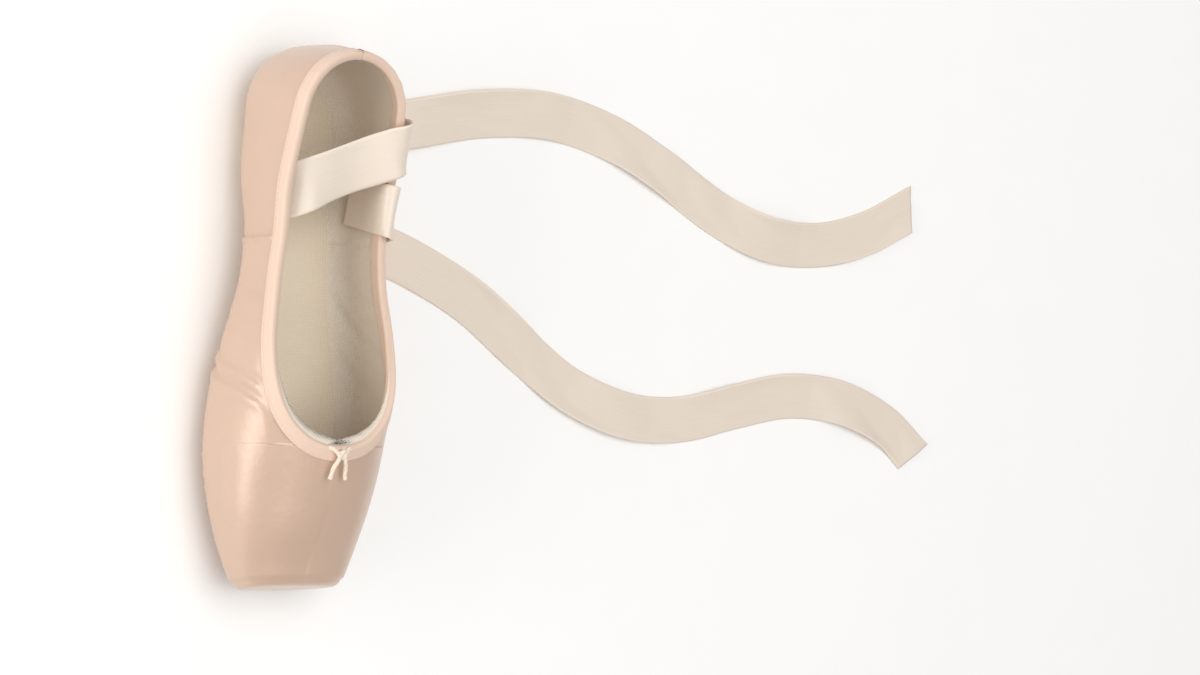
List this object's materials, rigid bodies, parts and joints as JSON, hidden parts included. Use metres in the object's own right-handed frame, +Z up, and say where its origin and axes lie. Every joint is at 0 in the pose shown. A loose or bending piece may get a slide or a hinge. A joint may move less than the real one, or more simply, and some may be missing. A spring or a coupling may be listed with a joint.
{
  "type": "pointe shoe",
  "caption": "Satin pointe shoe with a hollow boxed toe, flat platform, split of quarters and vamp, folded binding, suede outsole and loose ribbons, standing empty on its sole.",
  "frame": {"origin": "on the floor, under the middle of the shoe's length and width, ribbons left out", "axes": "+X from heel to toe platform, +Y to the far side of the shoe, +Z up out of the collar"},
  "size_m": [0.2318, 0.4484, 0.0588],
  "materials": {
    "satin": "peach satin over canvas, starched hard at the toe box",
    "binding_satin": "folded bias binding with a line of stitches",
    "suede": "tan suede leather, nap outwards",
    "sock_lining": "plain woven cotton",
    "cotton_string": "thin braided cotton",
    "ribbon_satin": "thin cream satin ribbon"
  },
  "bodies": {
    "root": {"upper": "satin", "throat_binding": "binding_satin", "outsole": "suede", "insole": "sock_lining", "drawstring_knot": "cotton_string", "near_ribbon": "ribbon_satin", "far_ribbon": "ribbon_satin"}
  },
  "joints": []
}
